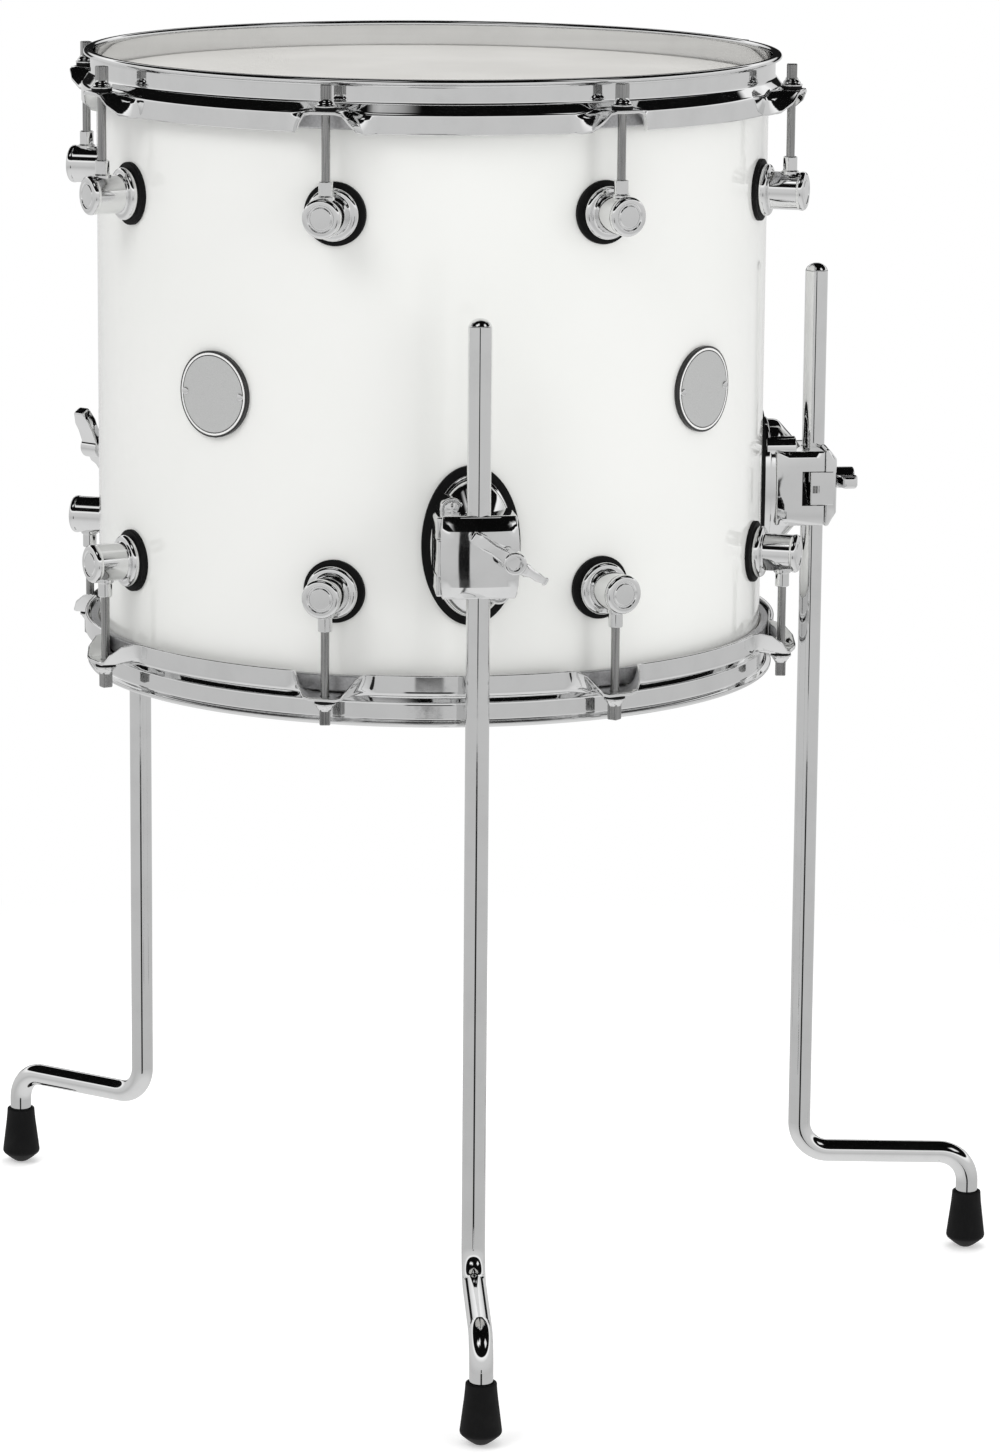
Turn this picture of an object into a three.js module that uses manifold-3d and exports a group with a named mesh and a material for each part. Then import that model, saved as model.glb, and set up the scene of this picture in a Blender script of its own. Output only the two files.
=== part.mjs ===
// A floor tom: a sixteen inch shell with eight lugs a head, on three clamped legs.
// Millimetres, +Z up. The side between the two front legs faces -Y, and the rear leg is at +Y.
// The feet stand on Z = 0, and the origin is on the floor under the middle of the footprint.
import * as THREE from "three";
import { mergeVertices } from "three/addons/utils/BufferGeometryUtils.js";
import Module from "manifold-3d";

const wasm = await Module();
wasm.setup();

// Clearances, and how far a cutter runs past what it cuts
const seat = 0.3;
const slip = 0.4;
const overrun = 3;

// Shell, with its bearing edges
const shellRadius = 202;
const shellDepth = 341;
const shellWall = 7;
const shellMiddle = 573.5;
const edgeRound = 2.5;
const edgeBevel = 4.5;
const shellSides = 64;

// Heads: a film turned down over the bearing edge, and the ring that holds it
const filmThickness = 0.7;
const fleshHoopWidth = 4.6;
const fleshHoopHeight = 9.6;
const roundOverShares = [0, 0.5, 1];

// Hoops: a turned-out rim, a wall, a shoulder over the flesh hoop, and a skirt that lifts into ears
const hoopSheet = 2.1;
const hoopRimRise = 16;
const hoopWallHeight = 17;
const hoopWallGap = 0.6;
const rimOverhang = 3.9;
const rimDrop = 1.4;
const skirtGap = 1.2;
const skirtDepth = 14;
const earReach = 16.8;
const earHoleRadius = 3.2;
const hoopSides = 96;
const earLiftShares = [1, 0.8, 0.22, 0];

// Lugs: gasket, cast flange, neck and barrel on one axis, and the swivel nut that takes the rod
const lugCount = 8;
const lugSetback = 61.4;
const lugGasketRadius = 18.4;
const lugGasketThickness = 2.6;
const lugFlangeRadius = 15.4;
const lugFlangeDepth = 6.8;
const lugNeckRadius = 9.8;
const lugNeckDepth = 9.6;
const lugBarrelRadius = 11.2;
const lugShoulderDepth = 11.4;
const lugBarrelDepth = 28.8;
const lugFaceRound = 1.4;
const swivelRadius = 4.2;
const swivelRise = 9.2;
const lugSides = 12;
const smallSides = 8;

// Tension rods: a threaded shaft with a washer under a collar and a square key head
const rodRadius = 2.5;
const rodStandoff = 18.5;
const rodIntoLug = 4;
const rodCollarRadius = 6.4;
const rodCollarHeight = 5.4;
const rodKeySize = 6.4;
const rodKeyHeight = 9;

// Badges and the air vent
const badgeRadius = 25.3;
const badgeThickness = 3;
const badgeSides = 28;
const ventBoreRadius = 5;
const ventBarrelRadius = 6.2;
const ventFlangeRadius = 8.5;
const ventFlangeThickness = 1.8;
const ventInnerProud = 1;
const ventSides = 16;

// Leg brackets: an oval foot on a gasket, a block with a groove for the leg, a hinged jaw
const bracketDrop = 80.5;
const bracketGasketWidth = 57.3;
const bracketGasketHeight = 93;
const bracketGasketThickness = 2.6;
const ovalWidth = 48.5;
const ovalHeight = 83.5;
const ovalBandDepth = 5;
const ovalRoundDepth = 8.5;
const ovalDomeDepth = 22;
const ovalRoundShare = 0.95;
const ovalDomeShare = 0.55;
const blockHingeSide = 24.5;
const blockScrewSide = 22.2;
const blockHeight = 46;
const blockPastLeg = 3.2;
const jawHingeSide = 23.1;
const jawScrewSide = 22.5;
const jawHeight = 48;
const jawGap = 0.6;
const jawThickness = 9.9;
const jawChamferDepth = 4.7;
const jawFaceHeight = 32;
const hingeOffset = 21.3;
const hingeInset = 5.7;
const hingePinRadius = 2;
const tongueWidth = 6.1;
const tongueHeight = 20.6;
const tongueBack = 6;
const notchBack = 7.3;
const notchSide = 0.8;

// Wing screws
const screwOffset = 17.4;
const screwShankRadius = 3;
const screwIntoBlock = 13.7;
const screwSwing = 0.9;
const hubRadius = 5.5;
const hubLength = 15;
const hubRound = 1.2;
const wingStandoff = 4.5;
const wingThickness = 3.4;
const wingLong = 30;
const wingShort = 23;
const wingBroad = 13;
const wingNarrow = 8.5;

// Legs: a bent rod with a domed plug in its top and a rubber foot on its lower end
const legRadius = 6.9;
const legStandoff = 35;
const legTop = 629;
const legArm = 108;
const legArmHeight = 65;
const legArmFall = 3;
const legBend = 19;
const legBendSteps = 5;
const legSides = 12;
const plugDome = 4.4;
const plugStemRadius = 4;
const plugStemLength = 12;
const plugDomeShares = [[0, 0], [0.52, 0.18], [0.87, 0.64], [1, 1]];
const footHeight = 37;
const footFlatRadius = 4;
const footWideRadius = 12.3;
const footWideHeight = 7.4;
const footTopRadius = 9;
const footFloor = 14;
const footSides = 16;

// Places round the shell, in degrees from the front, rising towards +X
const lugAngles = Array.from({ length: lugCount }, (_, i) => ((i + 0.5) * 360) / lugCount);
const legPlaces = [
  { name: "front_left", angle: -45, armTurn: -4.5, wingTurn: 146 },
  { name: "front_right", angle: 45, armTurn: -3, wingTurn: 146 },
  { name: "rear", angle: 180, armTurn: 0, wingTurn: 70 },
];
const badgePlaces = [
  { name: "badge_front", angle: 0 },
  { name: "badge_left", angle: -90 },
];
const ventAngle = 90;

// Heights and depths that follow from the sizes above
const shellTop = shellMiddle + shellDepth / 2;
const shellBottom = shellMiddle - shellDepth / 2;
const lugHeight = shellTop - lugSetback;
const filmOuterRadius = shellRadius + slip + filmThickness;
const hoopWallRadius = filmOuterRadius + hoopWallGap;
const hoopRimTop = shellTop + hoopRimRise;
const shoulderTop = hoopRimTop - hoopWallHeight;
const fleshHoopTop = shoulderTop - hoopSheet - seat;
const skirtInnerRadius = filmOuterRadius + fleshHoopWidth + skirtGap;
const skirtOuterRadius = skirtInnerRadius + hoopSheet;
const bracketHeight = shellMiddle - bracketDrop;
const rodReach = shellRadius + rodStandoff;
const legReach = shellRadius + legStandoff;
const blockDepth = legStandoff + blockPastLeg;
const jawBack = blockDepth + jawGap;
const jawDepth = jawBack + jawThickness;
const hingeDepth = blockDepth - hingeInset;
const screwTipDepth = blockDepth - screwIntoBlock;
const hubBack = jawDepth + seat;

// Colours
const finishes = {
  lacquer: { color: 0xf4f3ee, roughness: 0.12, metalness: 0 },
  chrome: { color: 0xd5d7da, roughness: 0.08, metalness: 1 },
  steel: { color: 0xb4b4b2, roughness: 0.3, metalness: 1 },
  aluminium: { color: 0xc2c3c4, roughness: 0.42, metalness: 1 },
  film: { color: 0xe4e1da, roughness: 0.45, metalness: 0 },
  rubber: { color: 0x1c1c1d, roughness: 0.75, metalness: 0 },
  brass: { color: 0xcfcfcc, roughness: 0.25, metalness: 1 },
  badge: { color: 0xb9bbbb, roughness: 0.38, metalness: 0.9 },
};

const drum = new THREE.Group();

// The signed volume of an indexed triangle mesh, which is negative when its faces point in
function signedVolume(positions, index) {
  const [a, b, c] = [new THREE.Vector3(), new THREE.Vector3(), new THREE.Vector3()];
  let volume = 0;
  for (let i = 0; i < index.length; i += 3) {
    a.fromArray(positions, index[i] * 3);
    b.fromArray(positions, index[i + 1] * 3);
    c.fromArray(positions, index[i + 2] * 3);
    volume += a.dot(b.cross(c)) / 6;
  }
  return volume;
}

// A geometry as a solid, with its shared vertices merged and its faces pointing out
function solid(geometry) {
  const bare = geometry.clone();
  bare.deleteAttribute("normal");
  bare.deleteAttribute("uv");
  const merged = mergeVertices(bare);
  const positions = merged.attributes.position.array;
  const corners = [];
  for (let i = 0; i < merged.index.count; i += 3) {
    const [a, b, c] = [0, 1, 2].map((k) => merged.index.getX(i + k));
    if (a !== b && b !== c && c !== a) corners.push(a, b, c);
  }
  if (signedVolume(positions, corners) < 0) corners.reverse();
  const vertProperties = new Float32Array(positions);
  const triVerts = new Uint32Array(corners);
  return new wasm.Manifold(new wasm.Mesh({ numProp: 3, vertProperties, triVerts }));
}

function geometryOf(body) {
  const mesh = body.getMesh();
  const geometry = new THREE.BufferGeometry();
  geometry.setAttribute("position", new THREE.BufferAttribute(new Float32Array(mesh.vertProperties), 3));
  geometry.setIndex([...mesh.triVerts]);
  geometry.computeVertexNormals();
  return geometry;
}

// Adds one named piece. It is modelled at the front of the drum and turned to its place.
function addPiece(name, body, finish, angle = 0) {
  const mesh = new THREE.Mesh(geometryOf(body), new THREE.MeshStandardMaterial(finishes[finish]));
  mesh.name = name;
  mesh.rotation.z = THREE.MathUtils.degToRad(angle);
  drum.add(mesh);
}

// A profile of [radius, height] points turned round the drum's axis
function turned(points, sides) {
  const profile = points.map(([r, z]) => new THREE.Vector2(r, z));
  return new THREE.LatheGeometry(profile, sides).rotateX(Math.PI / 2);
}

// A profile of [radius, depth] points turned round an axis that points out from the shell
function turnedOutward(points, sides, x = 0, z = 0) {
  const profile = points.map(([r, depth]) => new THREE.Vector2(r, -(shellRadius + depth)));
  return new THREE.LatheGeometry(profile, sides).translate(x, 0, z);
}

function uprightCylinder(radius, from, to, x, depth, sides) {
  const cylinder = new THREE.CylinderGeometry(radius, radius, to - from, sides).rotateX(Math.PI / 2);
  return cylinder.translate(x, -(shellRadius + depth), (from + to) / 2);
}

function outwardCylinder(radius, from, to, x, z, sides) {
  const cylinder = new THREE.CylinderGeometry(radius, radius, to - from, sides);
  return cylinder.translate(x, -(shellRadius + (from + to) / 2), z);
}

// A block between two places across, two depths out from the shell, and two heights
function block(left, right, inner, outer, low, high) {
  const box = new THREE.BoxGeometry(right - left, outer - inner, high - low);
  return box.translate((left + right) / 2, -(shellRadius + (inner + outer) / 2), (low + high) / 2);
}

// An outline of [depth, height] points, seen from the side, pushed across from left to right
function sideExtrusion(points, left, right) {
  const shape = new THREE.Shape(points.map(([depth, z]) => new THREE.Vector2(shellRadius + depth, z)));
  const geometry = new THREE.ExtrudeGeometry(shape, { depth: right - left, bevelEnabled: false });
  const across = new THREE.Vector3(1, 0, 0);
  const up = new THREE.Vector3(0, 0, 1);
  geometry.applyMatrix4(new THREE.Matrix4().makeBasis(new THREE.Vector3(0, -1, 0), up, across));
  return geometry.translate(left, 0, 0);
}

// What a piece loses to the curved shell behind it, with the seat left between them
function shellClearance() {
  const [low, high] = [shellBottom - shellDepth, shellTop + shellDepth];
  return solid(turned([[0, low], [shellRadius + seat, low], [shellRadius + seat, high], [0, high]], shellSides));
}

// The same shape on the resonant side of the drum
function flipped(points) {
  return points.map(([r, z]) => [r, 2 * shellMiddle - z]);
}

// Shell: a plied tube with its outer edge rounded, its inner edge bevelled, and one vent hole
function shellBody() {
  const inner = shellRadius - shellWall;
  const outline = [
    [shellRadius, shellBottom + edgeRound], [shellRadius, shellTop - edgeRound],
    [shellRadius - edgeRound, shellTop], [inner, shellTop - edgeBevel],
    [inner, shellBottom + edgeBevel], [shellRadius - edgeRound, shellBottom],
    [shellRadius, shellBottom + edgeRound],
  ];
  const hole = outwardCylinder(ventBarrelRadius + slip, -shellWall - overrun, overrun, 0, shellMiddle, ventSides);
  hole.rotateZ(THREE.MathUtils.degToRad(ventAngle));
  return solid(turned(outline, shellSides)).subtract(solid(hole));
}

// The film's edge turned over the bearing edge, at a distance outside it
function roundOver(distance) {
  return roundOverShares.map((share) => {
    const turn = (share * Math.PI) / 2;
    const reach = edgeRound + distance;
    return [
      shellRadius - edgeRound + reach * Math.sin(turn),
      shellTop - edgeRound + reach * Math.cos(turn),
    ];
  });
}

function headOutline() {
  const under = roundOver(slip);
  const over = roundOver(slip + filmThickness);
  return [[0, under[0][1]], ...under, ...over.reverse(), [0, over[over.length - 1][1]]];
}

function fleshHoopOutline() {
  const collarTop = shellTop - edgeRound - seat;
  const inner = shellRadius + slip;
  const outer = filmOuterRadius + fleshHoopWidth;
  const bottom = fleshHoopTop - fleshHoopHeight;
  return [
    [inner, bottom], [outer, bottom], [outer, fleshHoopTop], [filmOuterRadius, fleshHoopTop],
    [filmOuterRadius, collarTop], [inner, collarTop], [inner, bottom],
  ];
}

// Hoop: the profile turned full circle, then its skirt swung out into an ear at each lug
function hoopBody() {
  const wallOuter = hoopWallRadius + hoopSheet;
  const rimOuter = wallOuter + rimOverhang;
  const outerEnd = [skirtOuterRadius, shoulderTop - skirtDepth];
  const innerEnd = [skirtInnerRadius, shoulderTop - skirtDepth];
  const outline = [
    [hoopWallRadius, hoopRimTop], [rimOuter, hoopRimTop], [rimOuter, hoopRimTop - hoopSheet],
    [wallOuter, hoopRimTop - hoopSheet - rimDrop], [wallOuter, shoulderTop], [skirtOuterRadius, shoulderTop],
    outerEnd, innerEnd,
    [skirtInnerRadius, shoulderTop - hoopSheet], [hoopWallRadius, shoulderTop - hoopSheet],
    [hoopWallRadius, hoopRimTop],
  ];
  const geometry = turned(outline, hoopSides);
  const positions = geometry.attributes.position;
  const stepsPerLug = hoopSides / lugCount;
  for (let ring = 0; ring <= hoopSides; ring += 1) {
    const angle = (ring / hoopSides) * 2 * Math.PI;
    const step = Math.abs(((ring + stepsPerLug) % stepsPerLug) - stepsPerLug / 2);
    const lift = earLiftShares[step] ?? 0;
    const swing = (lift * Math.PI) / 2;
    const length = skirtDepth + (earReach - skirtDepth) * lift;
    const endRadius = skirtOuterRadius + length * Math.sin(swing);
    const endHeight = shoulderTop - length * Math.cos(swing);
    const ends = [
      [outline.indexOf(outerEnd), endRadius, endHeight],
      [
        outline.indexOf(innerEnd),
        endRadius - hoopSheet * Math.cos(swing),
        endHeight - hoopSheet * Math.sin(swing),
      ],
    ];
    for (const [point, radius, height] of ends) {
      const vertex = ring * outline.length + point;
      positions.setXYZ(vertex, radius * Math.sin(angle), -radius * Math.cos(angle), height);
    }
  }
  let hoop = solid(geometry);
  for (const angle of lugAngles) {
    const hole = uprightCylinder(
      earHoleRadius, shoulderTop - hoopSheet - overrun, shoulderTop + overrun, 0, rodStandoff, smallSides,
    );
    hoop = hoop.subtract(solid(hole.rotateZ(THREE.MathUtils.degToRad(angle))));
  }
  return hoop;
}

// A solid mirrored to the other end of the drum
function mirroredToResonantSide(body) {
  const geometry = geometryOf(body);
  geometry.translate(0, 0, -shellMiddle).scale(1, 1, -1).translate(0, 0, shellMiddle);
  return solid(geometry);
}

// Lug for the batter side: the cut back follows the shell, and the bore is open at the top
function lugBody() {
  const outline = [
    [0, -overrun], [lugGasketRadius, -overrun], [lugGasketRadius, lugGasketThickness],
    [lugFlangeRadius, lugGasketThickness], [lugFlangeRadius, lugFlangeDepth], [lugNeckRadius, lugNeckDepth],
    [lugBarrelRadius, lugShoulderDepth], [lugBarrelRadius, lugBarrelDepth - lugFaceRound],
    [lugBarrelRadius - lugFaceRound, lugBarrelDepth], [0, lugBarrelDepth],
  ];
  const casting = solid(turnedOutward(outline, lugSides, 0, lugHeight));
  const nutTop = lugHeight + lugBarrelRadius + swivelRise;
  const nut = uprightCylinder(swivelRadius, lugHeight, nutTop, 0, rodStandoff, smallSides);
  const boreEnd = lugHeight - rodIntoLug - seat;
  const bore = uprightCylinder(rodRadius + seat, boreEnd, nutTop + overrun, 0, rodStandoff, smallSides);
  return casting.add(solid(nut)).subtract(solid(bore)).subtract(shellClearance());
}

// Tension rod for the batter side, from inside the swivel nut to the key head over the ear
function tensionRodBody() {
  const collarBottom = shoulderTop + seat;
  const collarTop = collarBottom + rodCollarHeight;
  const end = lugHeight - rodIntoLug;
  const outline = [
    [0, end], [rodRadius, end], [rodRadius, collarBottom], [rodCollarRadius, collarBottom],
    [rodCollarRadius, collarTop], [0, collarTop],
  ];
  const half = rodKeySize / 2;
  const [near, far] = [rodStandoff - half, rodStandoff + half];
  const key = block(-half, half, near, far, collarTop - rodKeyHeight / 2, collarTop + rodKeyHeight);
  const shaft = turned(outline, smallSides).translate(0, -rodReach, 0);
  return solid(shaft).add(solid(key));
}

// Badge: a plain disc whose back follows the shell
function badgeBody() {
  const disc = outwardCylinder(badgeRadius, -overrun, badgeThickness, 0, shellMiddle, badgeSides);
  return solid(disc).subtract(shellClearance());
}

// Vent grommet: a flanged tube through the shell wall
function ventBody() {
  const inner = -shellWall - ventInnerProud;
  const outline = [
    [ventBoreRadius, inner], [ventBarrelRadius, inner], [ventBarrelRadius, seat], [ventFlangeRadius, seat],
    [ventFlangeRadius, ventFlangeThickness], [ventBoreRadius, ventFlangeThickness], [ventBoreRadius, inner],
  ];
  return solid(turnedOutward(outline, ventSides, 0, shellMiddle));
}

// An oval of the bracket's foot: a unit profile scaled to the oval's width and height
function oval(points, width, height) {
  const profile = points.map(([share, depth]) => new THREE.Vector2(share, -(shellRadius + depth)));
  const geometry = new THREE.LatheGeometry(profile, 2 * lugSides);
  return solid(geometry.scale(width / 2, 1, height / 2).translate(0, 0, bracketHeight));
}

// Bracket base: gasket, domed oval, and the block with the leg groove, hinge pin and screw hole
function bracketBaseBody() {
  const gasket = oval(
    [[0, -overrun], [1, -overrun], [1, bracketGasketThickness], [0, bracketGasketThickness]],
    bracketGasketWidth, bracketGasketHeight,
  );
  const dome = oval(
    [[0, 0], [1, 0], [1, ovalBandDepth], [ovalRoundShare, ovalRoundDepth], [ovalDomeShare, ovalDomeDepth],
      [0, ovalDomeDepth]],
    ovalWidth, ovalHeight,
  );
  const low = bracketHeight - blockHeight / 2;
  const high = bracketHeight + blockHeight / 2;
  const body = solid(block(-blockHingeSide, blockScrewSide, 0, blockDepth, low, high));
  const grooveRadius = legRadius + seat;
  const groove = solid(uprightCylinder(grooveRadius, low - overrun, high + overrun, 0, legStandoff, legSides)).add(
    solid(block(-grooveRadius, grooveRadius, legStandoff, blockDepth + overrun, low - overrun, high + overrun)),
  );
  const notch = block(
    -blockHingeSide - overrun, -hingeOffset + tongueWidth / 2 + notchSide, hingeDepth - notchBack, blockDepth + overrun,
    bracketHeight - tongueHeight / 2 - seat, bracketHeight + tongueHeight / 2 + seat,
  );
  const hole = outwardCylinder(
    screwShankRadius + screwSwing, screwTipDepth - screwSwing, blockDepth + overrun, screwOffset, bracketHeight,
    lugSides,
  );
  const pin = uprightCylinder(hingePinRadius, low, high, -hingeOffset, hingeDepth, smallSides);
  const foot = gasket.add(dome).add(body).subtract(shellClearance());
  return foot.subtract(groove).subtract(solid(notch)).subtract(solid(hole)).add(solid(pin));
}

// Jaw: a chamfered bar over the leg, with a tongue that reaches back to the hinge pin
function jawBody() {
  const [end, face] = [jawHeight / 2, jawFaceHeight / 2];
  const bar = sideExtrusion([
    [jawBack, bracketHeight - end], [jawDepth - jawChamferDepth, bracketHeight - end],
    [jawDepth, bracketHeight - face], [jawDepth, bracketHeight + face],
    [jawDepth - jawChamferDepth, bracketHeight + end], [jawBack, bracketHeight + end],
  ], -jawHingeSide, jawScrewSide);
  const [low, high] = [bracketHeight - tongueHeight / 2, bracketHeight + tongueHeight / 2];
  const middle = (jawBack + jawDepth) / 2;
  const tongue = block(
    -hingeOffset - tongueWidth / 2, -hingeOffset + tongueWidth / 2, hingeDepth - tongueBack, middle, low, high,
  );
  const bore = uprightCylinder(
    hingePinRadius + seat, low - overrun, high + overrun, -hingeOffset, hingeDepth, smallSides,
  );
  const groove = uprightCylinder(
    legRadius + seat, bracketHeight - jawHeight, bracketHeight + jawHeight, 0, legStandoff, legSides,
  );
  const hole = outwardCylinder(
    screwShankRadius + slip, jawBack - overrun, jawDepth + overrun, screwOffset, bracketHeight, lugSides,
  );
  return solid(bar).add(solid(tongue)).subtract(solid(bore)).subtract(solid(groove)).subtract(solid(hole));
}

// Wing screw: shank, round hub and two unequal wings, one broad and one narrow
function wingScrewBody(turn) {
  const hubEnd = hubBack + hubLength;
  const outline = [
    [0, screwTipDepth], [screwShankRadius, screwTipDepth], [screwShankRadius, hubBack], [hubRadius, hubBack],
    [hubRadius, hubEnd - hubRound], [hubRadius - hubRound, hubEnd], [0, hubEnd],
  ];
  const shape = new THREE.Shape();
  shape.absarc(wingLong - wingBroad / 2, 0, wingBroad / 2, -Math.PI / 2, Math.PI / 2);
  shape.absarc(wingNarrow / 2 - wingShort, 0, wingNarrow / 2, Math.PI / 2, (Math.PI * 3) / 2);
  const wings = new THREE.ExtrudeGeometry(shape, { depth: wingThickness, bevelEnabled: false, curveSegments: 3 });
  wings.rotateZ(THREE.MathUtils.degToRad(turn)).rotateX(Math.PI / 2);
  wings.translate(screwOffset, -(shellRadius + hubBack + wingStandoff), bracketHeight);
  return solid(turnedOutward(outline, lugSides, screwOffset, bracketHeight)).add(solid(wings));
}

// The leg's centre line, as the places where its section is set: one at each straight's end, more in the bends
class LegRun extends THREE.Curve {
  constructor(stations) {
    super();
    this.stations = stations;
  }
  getPointAt(u) {
    return this.stations[Math.round(u * (this.stations.length - 1))].place.clone();
  }
  getTangentAt(u) {
    return this.stations[Math.round(u * (this.stations.length - 1))].heading.clone();
  }
}

// A station of the leg: how far out from its upright part, how high, and the way it heads
function station(out, z, dive) {
  return {
    place: new THREE.Vector3(0, -(legReach + out), z),
    heading: new THREE.Vector3(0, -Math.cos(dive), -Math.sin(dive)),
  };
}

function legStations() {
  const slope = Math.atan2(legArmFall, legArm);
  const turn = Math.PI / 2 - slope;
  const armInset = legBend * Math.tan(turn / 2);
  const stations = [station(0, legTop - plugDome - seat, Math.PI / 2)];
  for (let i = 0; i <= legBendSteps; i += 1) {
    const dive = Math.PI / 2 - (turn * i) / legBendSteps;
    stations.push(station(legBend * (1 - Math.sin(dive)), legArmHeight + armInset - legBend * Math.cos(dive), dive));
  }
  for (let i = 0; i <= legBendSteps; i += 1) {
    const dive = slope + (turn * i) / legBendSteps;
    const out = legArm - legBend * (1 - Math.sin(dive));
    stations.push(station(out, legArmHeight - legArmFall - armInset + legBend * Math.cos(dive), dive));
  }
  stations.push(station(legArm, footFloor + seat, Math.PI / 2));
  return stations;
}

// Leg: one rod bent twice, with a socket in its top for the plug
function legBody() {
  const stations = legStations();
  const section = new THREE.Shape();
  section.absarc(0, 0, legRadius, 0, 2 * Math.PI);
  const rod = new THREE.ExtrudeGeometry(section, {
    steps: stations.length - 1, extrudePath: new LegRun(stations), curveSegments: legSides / 2, bevelEnabled: false,
  });
  const top = legTop - plugDome - seat;
  const socket = uprightCylinder(
    plugStemRadius + seat, top - plugStemLength, top + overrun, 0, legStandoff, legSides,
  );
  return solid(rod).subtract(solid(socket));
}

function plugBody() {
  const dome = plugDomeShares.map(([across, down]) => [across * legRadius, legTop - down * plugDome]);
  const stemEnd = legTop - plugDome - plugStemLength;
  const shoulder = legTop - plugDome;
  const outline = [...dome, [plugStemRadius, shoulder], [plugStemRadius, stemEnd], [0, stemEnd]];
  return solid(turned(outline, legSides).translate(0, -legReach, 0));
}

function footBody() {
  const boreRadius = legRadius + slip;
  const outline = [
    [0, 0], [footFlatRadius, 0], [footWideRadius, footWideHeight], [footTopRadius, footHeight],
    [boreRadius, footHeight], [boreRadius, footFloor], [0, footFloor],
  ];
  return solid(turned(outline, footSides).translate(0, -legReach - legArm, 0));
}

// A leg or foot turned in its clamp, about the leg's upright part
function turnedInClamp(body, turn) {
  return body.translate(0, legReach, 0).rotate(0, 0, turn).translate(0, -legReach, 0);
}

addPiece("shell", shellBody(), "lacquer");
addPiece("batter_head", solid(turned(headOutline(), shellSides)), "film");
addPiece("resonant_head", solid(turned(flipped(headOutline()), shellSides)), "film");
addPiece("batter_flesh_hoop", solid(turned(fleshHoopOutline(), shellSides)), "aluminium");
addPiece("resonant_flesh_hoop", solid(turned(flipped(fleshHoopOutline()), shellSides)), "aluminium");

const hoop = hoopBody();
addPiece("batter_hoop", hoop, "chrome");
addPiece("resonant_hoop", mirroredToResonantSide(hoop), "chrome");

const lug = lugBody();
const lowerLug = mirroredToResonantSide(lug);
const tensionRod = tensionRodBody();
const lowerTensionRod = mirroredToResonantSide(tensionRod);
lugAngles.forEach((angle, i) => {
  addPiece(`upper_lug_${i + 1}`, lug, "chrome", angle);
  addPiece(`lower_lug_${i + 1}`, lowerLug, "chrome", angle);
  addPiece(`batter_tension_rod_${i + 1}`, tensionRod, "steel", angle);
  addPiece(`resonant_tension_rod_${i + 1}`, lowerTensionRod, "steel", angle);
});

const badge = badgeBody();
for (const { name, angle } of badgePlaces) {
  addPiece(name, badge, "badge", angle);
}
addPiece("vent_grommet", ventBody(), "brass", ventAngle);

const bracketBase = bracketBaseBody();
const jaw = jawBody();
const leg = legBody();
const plug = plugBody();
const foot = footBody();
for (const { name, angle, armTurn, wingTurn } of legPlaces) {
  addPiece(`bracket_base_${name}`, bracketBase, "chrome", angle);
  addPiece(`bracket_jaw_${name}`, jaw, "chrome", angle);
  addPiece(`wing_screw_${name}`, wingScrewBody(wingTurn), "chrome", angle);
  addPiece(`leg_${name}`, turnedInClamp(leg, armTurn), "chrome", angle);
  addPiece(`leg_plug_${name}`, plug, "chrome", angle);
  addPiece(`foot_${name}`, turnedInClamp(foot, armTurn), "rubber", angle);
}

// The origin goes under the middle of the footprint
const middle = new THREE.Box3().setFromObject(drum, true).getCenter(new THREE.Vector3());
drum.position.set(-middle.x, -middle.y, 0);

const floorTom = new THREE.Group();
floorTom.add(drum);
export default floorTom;
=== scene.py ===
# Floor tom: a gloss white wooden drum with chromed hardware, on three clamped legs.
# Sizes are in millimetres and become metres when a piece is put in its place.
# Pieces are shaped at the front of the drum, which is -Y, and then turned round its axis.
import math

import bmesh
import bpy
from mathutils import Matrix, Vector


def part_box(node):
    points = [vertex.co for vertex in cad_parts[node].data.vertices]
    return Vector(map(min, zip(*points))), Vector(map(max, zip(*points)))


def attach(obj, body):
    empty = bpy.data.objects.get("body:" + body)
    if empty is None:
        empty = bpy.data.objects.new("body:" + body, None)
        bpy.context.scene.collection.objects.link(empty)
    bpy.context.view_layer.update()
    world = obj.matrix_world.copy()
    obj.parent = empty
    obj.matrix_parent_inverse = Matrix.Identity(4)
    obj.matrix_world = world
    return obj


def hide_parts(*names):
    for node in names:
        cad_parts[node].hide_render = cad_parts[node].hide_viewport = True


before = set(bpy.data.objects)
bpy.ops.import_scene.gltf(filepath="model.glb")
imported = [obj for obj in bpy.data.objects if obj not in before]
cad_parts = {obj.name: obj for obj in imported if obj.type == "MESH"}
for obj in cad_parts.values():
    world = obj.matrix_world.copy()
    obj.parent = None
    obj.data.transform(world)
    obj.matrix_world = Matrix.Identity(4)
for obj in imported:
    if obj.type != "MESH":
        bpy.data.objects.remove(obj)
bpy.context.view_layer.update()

# Shell: a plied maple tube in white gloss lacquer, with a rounded outer edge and a bevelled
# inner edge at each end, and a hole for the vent in its side.
METRE = 0.001
shell_low, shell_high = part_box("shell")
drum_axis = Vector(((shell_low.x + shell_high.x) / 2, (shell_low.y + shell_high.y) / 2, 0))
shell_radius = (shell_high.x - shell_low.x) / 2 / METRE
shell_top = shell_high.z / METRE
shell_bottom = shell_low.z / METRE
shell_middle = (shell_top + shell_bottom) / 2
shell_wall = 7
shell_edge_round = 2.5
shell_bevel = 4.5
shell_sides = 288
corner_steps = 4
vent_angle = 90
vent_hole_radius = 6.4


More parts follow.
